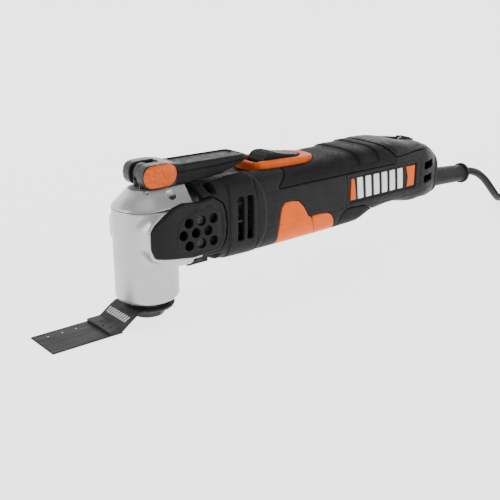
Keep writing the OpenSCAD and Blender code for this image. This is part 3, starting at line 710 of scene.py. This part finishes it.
# ---- body shells
SHELL_SCREWS = [(90.5, 27.4, 3.6), (151.2, 63, 4.2), (204, 39.5, 4.8), (275.5, 54.5, 4.8)]
VENTS = ((57.2, 62.3), (65.0, 70.4))
REAR_SLOTS = (46.2, 57.4)
REAR_SLOT_HEIGHT = 6.4


def surround_plan(X, Y):
    half = [(84.2, 7), (85.8, 11.4), (88.6, 14.4), (93.4, 15.5), (132, 15.5), (141.5, 12), (145.7, 6)]
    return outline(X, Y, whole(half), [2, 3, 3, 3, 8, 8, 8, 8, 8, 8, 3, 3, 3, 2])


def surround_hole(X, Y):
    return np.minimum(surround_plan(X, Y) - 0.5, both(band(X, 78, 90), np.abs(Y) - 15.6))


def shell_half(X, Y, Z):
    """The left shell's field, without its screw heads' seats."""
    outer = body_skin(X, Y, Z)
    d = both(outer, band(X, 30.1, 286.4), 0.9)
    # Shoulders beside the lever: a flat slanted lug and a deep notch behind it
    d = without(d, both(0.9 * (80.4 - Z) - 0.42 * (Y - 12), X - 38), 0.5)
    d = without(d, block((X, 36.4, 41.6), (Y, 13.5, 40), (Z, 73.6, 100), 0.6), 0.4)
    d = without(d, form(X, Y, Z, ROOM))
    d = without(d, both(outline(X, Z, GUARD, 3.5) - 0.85, 24.2 - Y), 0.4)
    d = without(d, block((X, 20, 93), (Y, -1, 15.6), (Z, 79, 100)), 0.6)
    d = without(d, both(surround_hole(X, Y), 78.6 - Z), 0.5)
    d = without(d, block((X, 103, 119), (Y, -1, 3.6), (Z, 70, 100)))
    d = without(d, block((X, 20, 44), (Y, -1, 40), (Z, 10, 31)), 1.0)
    for a, b in VENTS:
        d = without(d, block((X, a, b), (Y, 20, 40), (Z, 37.4, 68.6), 1.4), 0.5)
    for z in REAR_SLOTS:
        d = without(d, block((X, 253, 269), (Y, 15.5, 40), (Z, z, z + REAR_SLOT_HEIGHT), 1.0), 0.4)
    # A duct behind the rear slots keeps the light out
    high = (Z, 43, 67)
    duct = np.minimum(block((X, 249, 272), (Y, 13, 14.3), high), block((X, 249, 250.3), (Y, 13, 27), high))
    duct = np.minimum(duct, block((X, 270.8, 272.2), (Y, 13, 22), high))
    d = either(d, both(duct, outer + 1.5))
    seat = form(X, Y, Z, inset=PANEL)
    grip = both(outline(X, Z, GRIP, 2), -surround_hole(X, Y))
    for region in [grip] + [outline(X, Z, points, 2) for points in (BELLY, SADDLE_FRONT, SADDLE_REAR)]:
        d = without(d, both(region - GAP, -seat), 0.35)
    d = without(d, outline(X, Z, BEZEL, 1.5) - GAP, 0.3)
    d = without(d, both(outline(X, Z, BADGE, 1.2), 28.4 - Y), 0.35)
    d = without(d, block((X, 237.6, 272.2), (Y, -1, 6.6), (Z, 60, 100)))
    for x, z, r in SHELL_SCREWS:
        boss = either(both(rod(X, Z, x, z, 3.6), band(Y, 0, 28)), both(rod(X, Z, x, z, r), band(Y, 12.8, 28)))
        d = either(d, both(boss, outer + 1.8))
        d = without(d, both(rod(X, Z, x, z, 1.9), Y - 17.4))
    return both(d, 0.06 - Y, 0.3)


def shell_left(X, Y, Z):
    d = shell_half(X, Y, Z)
    for x, z, r in SHELL_SCREWS:
        d = without(d, both(rod(X, Z, x, z, 3.45), 14.8 - Y), 0.3)
    return d


SHELL_BOX = (29.4, -0.6, 21.6), (287.4, 32, 85.4)
SHELL_STEP = 0.62
solid("body_shell_moulded_left", *SHELL_BOX, SHELL_STEP, shell_left, "shell_black", "root", "body_shell_left")
right = solid("shell_source", *SHELL_BOX, SHELL_STEP, shell_half, "shell_black", "root")
mirrored(right, "body_shell_moulded_right", "shell_black", "root", "body_shell_right")
bpy.data.objects.remove(right)

body_screw = screw(3.2, 2.0, 31, 1.8)
piece("body_screw_set", *joined([facing_y(body_screw, x, 16.9, z, 1) for x, z, _ in SHELL_SCREWS]),
      "black_oxide", "root", "body_screws")

panel("grip_moulded", (92, -31, 66), (219, 31, 85), 0.62, GRIP, "grip_rubber", "top_grip", extra=ribs,
      cut=surround_hole, proud=0.15)
panel("belly_moulded", (149, -31, 22), (210, 31, 43), 0.6, BELLY, "grip_rubber", "belly_grip")
panel("saddle_front_moulded", (91, -31, 21), (136, 31, 60), 0.55, SADDLE_FRONT, "orange", "saddle_front",
      radius=0.7)
panel("saddle_rear_moulded", (124, -31, 21), (156, 31, 45), 0.55, SADDLE_REAR, "orange", "saddle_rear",
      radius=0.7)


# ---- badges
def badge_plate(X, Y, Z):
    d = both(outline(X, Z, BADGE, 1.0) + 0.25, form(X, Y, Z) + 0.85, 0.25)
    return both(d, 28.5 - Y)


def badge_marks(regions):
    def shape(X, Y, Z):
        marks = None
        for r in regions:
            one = outline(X, Z, r, 0.5)
            marks = one if marks is None else np.minimum(marks, one)
        return both(both(marks, form(X, Y, Z) + 0.3, 0.3), 28.6 - Y)
    return shape


ENDS = [[(166.6, 47), (172.6, 47), (171.6, 55), (169.8, 63.8), (166.6, 63.8)],
        [(240.4, 63.8), (229.6, 63.8), (232.4, 55.4), (231.6, 47), (240.4, 47)]]
BARS = [[(174.8 + 9.2 * i, 47), (180.8 + 9.2 * i, 47), (179.0 + 9.2 * i, 63.8), (173.0 + 9.2 * i, 63.8)]
        for i in range(6)]
pair("badge_plate", (163, 27.6, 43), (244, 30.4, 67), 0.42, badge_plate, "shell_black", "root",
     ["badge_left"], ["badge_right"])
pair("badge_ends", (163, 27.8, 44), (244, 30.6, 66), 0.32, badge_marks(ENDS), "orange", "root")
pair("badge_bars", (163, 27.8, 44), (244, 30.6, 66), 0.32, badge_marks(BARS), "badge", "root")


# ---- rear top insert, tail, switch surround
def dial_bezel(X, Y, Z):
    edge = outline(X, Z, BEZEL, 1.5)
    ledge = 0.55 * np.exp(-((edge + 2.6) / 0.7) ** 2) * step_up(X - 214, 4) + 0.35 * step_up(edge + 2.2, 1.2)
    d = both(edge + GAP + 0.2, form(X, Y, Z) - 0.65 + ledge, 0.7)
    d = without(d, form(X, Y, Z, inset=3.2))
    return without(d, block((X, 238, 272), (Y, -6.3, 6.3), (Z, 60, 100)), 1.0)


def tail_cap(X, Y, Z):
    d = both(form(X, Y, Z, TAIL), band(X, 286.5, 294.3), 1.6)
    d = without(d, rod(Y, Z, 0, 39.1, 6.5), 0.6)
    return without(d, both(rod(Y, Z, 0, 39.1, 9.4), X - 290))


def switch_surround(X, Y, Z):
    plan = surround_plan(X, Y)
    top = Z - np.interp(X, [79, 91, 110, 146], [84.6, 85.5, 84.9, 83.2])
    d = both(both(plan, top, 1.6), 78.8 - Z)
    well = outline(X, Y, whole([(88, 10.6), (128, 10.6), (137.6, 3)]), 2)
    d = without(d, both(well, 80.2 - Z), 1.0)
    return without(d, block((X, 103, 119), (Y, -3.6, 3.6), (Z, 70, 100)))


def switch_slider(X, Y, Z):
    side = outline(X, Z, [(96, 80.7), (96, 84.4), (99.4, 88.4), (103, 89.5), (108, 89.3), (118, 86.8),
                          (135, 84.4), (135, 80.7)], [0, 1.5, 2, 1.5, 2, 3, 1, 0])
    plan = outline(X, Y, whole([(96, 9.6), (127, 9.6), (135, 3.4)]), 2)
    d = both(both(side, plan, 1.0), 80.7 - Z)
    top = np.interp(X, [96, 99.4, 103, 108, 118], [84.4, 88.4, 89.6, 89.3, 86.8])
    for x in np.arange(98.6, 109, 2.5):
        groove = np.hypot(X - x, (Z - top) * 0.8)
        d = without(d, both(groove - 0.75, np.abs(Y) - 8.6), 0.25)
    return d


solid("dial_bezel_moulded", (197, -31, 70), (277, 31, 85.5), 0.5, dial_bezel, "guard_black", "root",
      "dial_bezel")
solid("tail_cap_moulded", (286, -15, 27), (295, 15, 67.4), 0.4, tail_cap, "shell_black", "root", "tail_cap")
solid("switch_surround_moulded", (78, -16.4, 78), (146.6, 16.4, 87), 0.45, switch_surround, "orange", "root",
      "switch_surround")
solid("switch_slider_moulded", (95, -10.8, 80), (136.4, 10.8, 90.6), 0.32, switch_slider, "guard_black",
      "switch", "switch_slider")


# ---- release lever
PIVOT = 88.8


def lever_yoke(X, Y, Z):
    cheek = outline(X, Z, [(-7.8, 81), (18.6, 80.7), (18.6, 95.2), (10.6, 96.6), (-7.8, 96.6)],
                    [7.6, 3, 0.4, 2, 7.6])
    d = both(cheek, np.abs(Y) - 12.5, 0.7)
    slot_cut = both(np.abs(Y) - 4.5, X - 10.5)
    d = without(d, slot_cut, 0.6)
    web = block((X, 9.5, 17), (Y, -5, 5), (Z, 82, 95.4), 1.0)
    cam = either(rod(X, Z, 0, PIVOT + 1.25, 6), block((X, 0, 11), (Y, -3, 3), (Z, 87, 95)), 1.0)
    cam = both(cam, np.abs(Y) - 2.4, 0.3)
    d = either(either(d, web), cam)
    return without(d, rod(X, Z, 0, PIVOT, 2.55))


def lever_arm(X, Y, Z):
    plan = outline(X, Y, whole([(14, 12.5), (75, 12.5), (80.8, 10.6), (83, 6)]), [0, 5, 4, 4, 4, 4, 5, 0])
    upper = outline(X, Z, [(16, 87.8), (16, 95.6), (18.5, 95.2), (23, 93.9), (77, 93.1), (82.5, 91.7),
                           (83, 90), (80, 89.0), (72, 88.6), (50, 87.8)],
                    [0, 0, 2, 6, 6, 1.5, 0.5, 0.5, 4, 4])
    top = both(plan, upper, 2.4)
    under = outline(X, Z, [(17, 80.9), (17, 90), (80, 90.6), (78, 89), (72, 86.7), (57, 82.6), (42, 80.9)],
                    [0, 0, 1, 1, 8, 8, 8])
    skirt = both(both(plan + 0.9, under, 0.5), X - 80)
    d = either(top, skirt, 0.3)
    hollow = outline(X, Y, whole([(24, 9.8), (73, 9.8), (79.4, 5)]), 4)
    d = without(d, both(hollow, np.interp(X, [20, 78], [93.05, 92.2]) - Z), 0.3)
    d = without(d, np.sqrt((X - 75) ** 2 + (Y - 3.4) ** 2 + (Z - 93) ** 2) - 1.7, 0.2)
    d = without(d, block((X, 24, 71.8), (Y, -9.6, 9.6), (Z, 70, 88.4), 1.0))
    return without(d, both(rod(X, Z, 10.9, PIVOT - 0.4, 7.9), np.abs(Y) - 20))


def lever_cap(X, Y, Z):
    d = np.hypot(X - np.clip(X, 0, 11), Z - PIVOT + 0 * Y) - 7.5
    crown = 14.3 - 0.008 * ((X - 5.5) ** 2 + (Z - 88.6) ** 2)
    d = both(both(d, Y - crown, 0.7), 12.55 - Y)
    return d


solid("lever_yoke_forged", (-8.6, -13.2, 80), (19.4, 13.2, 97.4), 0.38, lever_yoke, "dark_steel", "lever",
      "lever_yoke")
solid("lever_arm_moulded", (13, -13.2, 80), (83.8, 13.2, 96.6), 0.4, lever_arm, "guard_black", "lever",
      "lever_arm")
pair("lever_cap", (-8.4, 12, 80), (19.6, 15.2, 97.2), 0.32, lever_cap, "pebbled_orange", "lever",
     ["lever_caps"])


# ---- speed dial
DIAL = (256.0, 64.0)


def speed_dial(X, Y, Z):
    r = np.hypot(X - DIAL[0], Z - DIAL[1])
    a = np.arctan2(Z - DIAL[1], X - DIAL[0])
    rim = r - (16.3 + 0.55 * np.clip(1.6 * np.cos(a * 24), -1, 1))
    d = both(rim, np.abs(Y) - 5.5, 0.6)
    d = without(d, both(band(r, 6, 12), 3.6 - np.abs(Y)), 0.6)
    return either(d, both(r - 2, np.abs(Y) - 8.5, 0.3))


solid("speed_dial_moulded", (238.6, -9, 46.6), (273.4, 9, 81.4), 0.36, speed_dial, "dial", "dial",
      "speed_dial")


STROKES = {"top": (-1, 2, 1, 2), "mid": (-1, 0, 1, 0), "low": (-1, -2, 1, -2), "ul": (-1, 0, -1, 2),
           "ur": (1, 0, 1, 2), "ll": (-1, -2, -1, 0), "lr": (1, -2, 1, 0)}
DIGITS = ["ur lr", "top ur mid ll low", "top ur mid lr low", "ul ur mid lr", "top ul mid lr low",
          "top ul mid ll lr low"]


def dial_digits(X, Y, Z):
    """The speed steps 1 to 6 round the dial's rim, 40 degrees apart."""
    r = np.hypot(X - DIAL[0], Z - DIAL[1])
    a = np.arctan2(X - DIAL[0], Z - DIAL[1])
    best = None
    for i, digit in enumerate(DIGITS):
        along_rim = ((a - math.radians(40 * i - 14) + math.pi) % (2 * math.pi) - math.pi) * 16.6
        for name in digit.split():
            x0, y0, x1, y1 = STROKES[name]
            u, v = along_rim - y0 * 0.8, Y + x0 * 1.3
            du, dv = (y1 - y0) * 0.8, -(x1 - x0) * 1.3
            t = np.clip((u * du + v * dv) / (du * du + dv * dv), 0, 1)
            d = (u - t * du) ** 2 + (v - t * dv) ** 2
            best = d if best is None else np.minimum(best, d)
    return both(np.sqrt(best) - 0.36, band(r, 15.4, 16.95), 0.1)


solid("speed_dial_digits", (238.6, -2.6, 46.6), (273.4, 2.6, 81.4), 0.24, dial_digits, "digits", "dial")


# ---- boot, tie and plug on the lead
def boot_frame(points):
    """Points of a piece drawn round Z, laid along the boot's line."""
    tilt = math.radians(3.7)
    p = np.asarray(points)
    axis = np.array([math.cos(tilt), 0, -math.sin(tilt)])
    up = np.array([math.sin(tilt), 0, math.cos(tilt)])
    return np.array([284, 0, 39.26]) + p[:, 2:3] * axis + p[:, 0:1] * up + p[:, 1:2] * np.array([0, 1, 0])


boot_profile = [(3.6, 0), (8.5, 0), (8.8, 0.3), (8.8, 5.3), (8.5, 5.6), (6.1, 5.7), (6.1, 11.2), (7.8, 11.4),
                (8.15, 11.8), (8.2, 13), (8.15, 20), (7.95, 34), (7.7, 48), (7.6, 54.6), (7.8, 55.6),
                (8.7, 56.2), (9.1, 56.9), (9.1, 59.0), (8.6, 59.7), (4.2, 59.7), (3.5, 59.2), (3.5, 44)]
boot_points, boot_faces = turned(boot_profile, 56)
piece("cord_boot_moulded", boot_frame(boot_points), boot_faces, "cable", "root", "cord_boot")


def tie(X, Y, Z):
    """A hook-and-loop strap round the coil, drawn along X and turned into place afterwards."""
    ring = block((X, 25.6, 48.4), (Y, -6, 6), (Z, FLOOR + 0.05, 17.8), 1.6)
    ring = without(ring, block((X, 26.5, 47.5), (Y, -7, 7), (Z, FLOOR + 0.95, 16.85), 0.8))
    flap = block((X, 30, 45.5), (Y, -5.6, 5.6), (Z, 17.7, 18.7), 0.4)
    return either(ring, flap, 0.3)


def spun(points, angle, centre):
    c, s = math.cos(angle), math.sin(angle)
    p = np.asarray(points)
    return np.stack([c * p[:, 0] - s * p[:, 1], s * p[:, 0] + c * p[:, 1], p[:, 2]], 1) + np.array(centre)


tie_points, tie_faces = surface(tie, (25, -6.6, -12), (49, 6.6, 19.2), 0.36)
cord_tie = piece("cord_tie_strap", spun(tie_points, math.radians(90), (*COIL, 0)), tie_faces, "grip_rubber",
                 "root", "cord_tie")


def plug(X, Y, Z):
    shell = outline(X, Y, whole([(19, 6.4), (33, 16.8), (55.6, 17.4)]), [2, 6, 3, 3, 6, 2])
    d = both(shell, np.abs(Z) - (6.7 - 0.0016 * Y ** 2), 1.6)
    relief_r = 4.4 + 1.6 * np.clip(X / 22, 0, 1)
    ripple = 0.35 * np.cos(np.clip(X, 0, 19) * 2 * math.pi / 3.8)
    stem = both(np.hypot(Y, Z) - relief_r - ripple, band(X, 0.2, 24), 0.4)
    d = either(d, stem, 1.5)
    grip = block((X, 36, 50), (np.abs(Y), 16.6, 20), (Z, -3.6, 3.6), 1.0)
    # Taken away twice, which softens its edge further
    d = without(without(d, grip, 0.5), grip, 0.5)
    return without(d, both(np.hypot(Y, Z) - 3.4, 1.5 - X))


plug_points, plug_faces = surface(plug, (-0.6, -18.2, -7.6), (56.4, 18.2, 7.6), 0.45)
mains_plug = piece("mains_plug", spun(plug_points, PLUG_TURN, PLUG_AT), plug_faces, "plug", "root",
                   "plug_body")


# ---- blade and clamp
def saw_blade(X, Y, Z):
    pitch = 31.0 / 22
    tooth = np.abs(((Y + 15.5) / pitch) % 1 - 0.5) * 2
    plan = both(both(-81 + 1.1 * tooth - X, X + 29.9), np.abs(Y) - 15.5)
    return both(plan, band(Z, -11.2, -10.1), 0.12)


def blade_dots(X, Y, Z):
    d = None
    for x in (-71.6, -61.3, -51.4):
        one = np.sqrt((X - x) ** 2 + (Y - 8.8) ** 2 + (Z + 10.9) ** 2) - 1.1
        d = one if d is None else np.minimum(d, one)
    return d


def riser_marks(X, Y, Z):
    """A band of slanted bars on the sloping part of the shank."""
    top = -2.2 + (X + 20.6) * 6.2 / 8.8
    bars = np.abs(((Y + 0.35 * X) / 2.6) % 1 - 0.5) * 2.6 - 0.75
    return both(both(both(bars, band(X, -26, -22)), np.abs(Y) - 12.6), np.abs(Z - top) * 0.8 - 0.22)


def blade_shank(X, Y, Z):
    strip = outline(X, Z, [(-12, -0.1), (-16.6, -0.1), (-20.6, -2.2), (-29.4, -8.4), (-39.5, -8.4),
                           (-39.5, -10.1), (-29.9, -10.1), (-21.2, -4.1), (-17.2, -1.8), (-12, -1.8)],
                    [0, 2, 4, 4, 0.3, 0, 3, 3, 2, 0])
    d = both(strip, np.abs(Y) - 15.5, 0.25)
    r = np.hypot(X, Y)
    hub = outline(r, Z, [(0, -1.8), (14, -1.8), (17.4, -3.4), (18.9, -0.9), (16.2, -0.1), (0, -0.1)],
                  [0, 1.5, 0.6, 0.8, 1.5, 0])
    d = either(d, hub, 0.4)
    d = without(d, r - 5.4, 0.2)
    a = (np.arctan2(Y, X) + math.pi / 12) % (math.pi / 6) - math.pi / 12
    d = without(d, np.hypot(r * np.cos(a) - 12.4, r * np.sin(a)) - 1.8, 0.15)
    for x, y in ((-34.4, 4), (-37.2, -2.7), (-34.3, -7.4)):
        d = without(d, np.sqrt((X - x) ** 2 + (Y - y) ** 2 + (Z + 7.3) ** 2) - 1.5, 0.15)
    return d


def clamp_head(X, Y, Z):
    r = np.hypot(X, Y)
    head = outline(r, Z, [(0, -9), (11.2, -9), (12.4, -5.2), (11, -1.9), (0, -1.9)], [0, 0.8, 0.8, 0.3, 0])
    a = (np.arctan2(Y, X) % (math.pi / 3)) - math.pi / 6
    head = without(head, both(np.hypot(r * np.cos(a) - 12.9, r * np.sin(a)) - 1.6, Z + 4.9), 0.4)
    d = either(head, both(r - 5, band(Z, -4, 57.4), 0.8))
    d = without(d, both(r - 4.2, Z + 6), 0.5)
    for z in (48, 51, 54):
        d = without(d, both(4.2 - r, band(Z, z, z + 1.4)), 0.15)
    return d


solid("saw_blade_ground", (-81.5, -16, -11.6), (-29.4, 16, -9.7), 0.3, saw_blade, "blade_steel", "tool",
      "saw_blade")
solid("blade_shank_pressed", (-40, -19.4, -10.5), (19.4, 19.4, 0.3), 0.34, blade_shank, "blade_steel", "tool",
      "blade_shank")
solid("blade_dot_marks", (-73, 7, -11), (-50, 10.6, -9.4), 0.16, blade_dots, "etched", "tool")
solid("shank_bar_marks", (-26.6, -13, -8), (-21.4, 13, -1.4), 0.16, riser_marks, "etched", "tool")
solid("clamp_bolt_turned", (-13, -13, -9.5), (13, 13, 58), 0.36, clamp_head, "dark_steel", "tool",
      "clamp_bolt")

# ---- CAD pieces that stay
SLOTS = {
    "dark_steel": ["lever_bracket", "tool_flange", "motor_end_frame"],
    "shell_black": ["chin_block", "air_baffle", "brush_holders"],
    "bearing": ["motor_bearing_front", "motor_bearing_rear", "spindle_bearing_lower", "spindle_bearing_upper",
                "eccentric_bearing"],
    "iron": ["stator_core", "armature", "oscillating_fork"],
    "copper": ["field_coils", "commutator"],
    "carbon": ["carbon_brushes"],
    "blue": ["switch_module"],
    "circuit": ["speed_circuit"],
    "seal": ["spindle_seal"],
    "pins": ["plug_pins"],
    "cable": ["cord_clamp"],
    "fan": ["cooling_fan"],
    "steel": ["output_spindle", "disc_springs", "lever_pin", "push_rod", "rotor_shaft"],
}
for slot_name, names in SLOTS.items():
    for name in names:
        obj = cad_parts[name]
        obj.data.materials.clear()
        obj.data.materials.append(MATERIALS[slot_name])

# ---- floor and light
PAPER = (0.36, 0.36, 0.36)
GLOW_FADES = (0.25, 1.0)
GLOW_STRENGTHS = (2.5, 0.4)
GLOW_TOWARDS = (-0.636, -0.772, 0)


def dish(flat, edge, height, centre=(0.12, 0.0), sides=96):
    """Points and faces of a round floor that rises into a wall, in metres."""
    bend = np.linspace(0, math.pi / 2, 9)
    r = np.concatenate([[0.0005, 0.4, 1.0], flat + (edge - flat) * np.sin(bend), [edge]])
    z = np.concatenate([[0, 0, 0], (edge - flat) * (1 - np.cos(bend)), [height]])
    points, faces = turned(list(zip(r, z)), sides, (*centre, FLOOR * MM - 0.0002))
    return points.tolist(), [f[::-1] for f in faces]


floor_mesh = bpy.data.meshes.new("floor")
floor_points, floor_faces = dish(1.5, 2.2, 1.7)
floor_mesh.from_pydata(floor_points, [], floor_faces)
floor_mesh.polygons.foreach_set("use_smooth", [True] * len(floor_mesh.polygons))
floor = bpy.data.objects.new("floor", floor_mesh)
scene.collection.objects.link(floor)
paper = finish("floor", PAPER, (0.35, 0.35, 0.35), 0.7, grain=2, relief=0.0, patch=400, specular=0.1)
floor_mesh.materials.append(paper)
# The paper glows, and fades along one fixed direction of the floor. That direction was picked from where the
# photo was taken, so the wall on that side is dimmer. No node reads the camera.
nodes, links = paper.node_tree.nodes, paper.node_tree.links
spot = nodes.new("ShaderNodeTexCoord")
facing = nodes.new("ShaderNodeVectorMath")
facing.operation = "DOT_PRODUCT"
facing.inputs[1].default_value = GLOW_TOWARDS
fade = nodes.new("ShaderNodeMapRange")
fade.interpolation_type = "SMOOTHSTEP"
for key, value in zip(("From Min", "From Max", "To Min", "To Max"), GLOW_FADES + GLOW_STRENGTHS):
    fade.inputs[key].default_value = value
links.new(spot.outputs["Object"], facing.inputs[0])
links.new(facing.outputs["Value"], fade.inputs["Value"])
shader = next(n for n in nodes if n.type == "BSDF_PRINCIPLED")
shader.inputs["Emission Color"].default_value = (1, 1, 1, 1)
links.new(fade.outputs["Result"], shader.inputs["Emission Strength"])

world = bpy.data.worlds.new("studio")
world.use_nodes = True
world.node_tree.nodes["Background"].inputs["Color"].default_value = (1, 1, 1, 1)
world.node_tree.nodes["Background"].inputs["Strength"].default_value = 0.45
scene.world = world


def softbox(name, at, size, power, target=(0.12, 0, 0.04)):
    data = bpy.data.lights.new(name, "AREA")
    data.shape = "RECTANGLE"
    data.size, data.size_y = size
    data.energy = power
    lamp = bpy.data.objects.new(name, data)
    lamp.location = at
    lamp.rotation_euler = (Vector(target) - Vector(at)).to_track_quat("-Z", "Y").to_euler()
    scene.collection.objects.link(lamp)


softbox("left", (-1.05, 0.25, 0.55), (0.5, 0.9), 8)
softbox("right", (0.85, -0.9, 0.6), (0.4, 0.8), 3)
softbox("top", (0.05, -0.1, 1.35), (1.0, 0.8), 4)
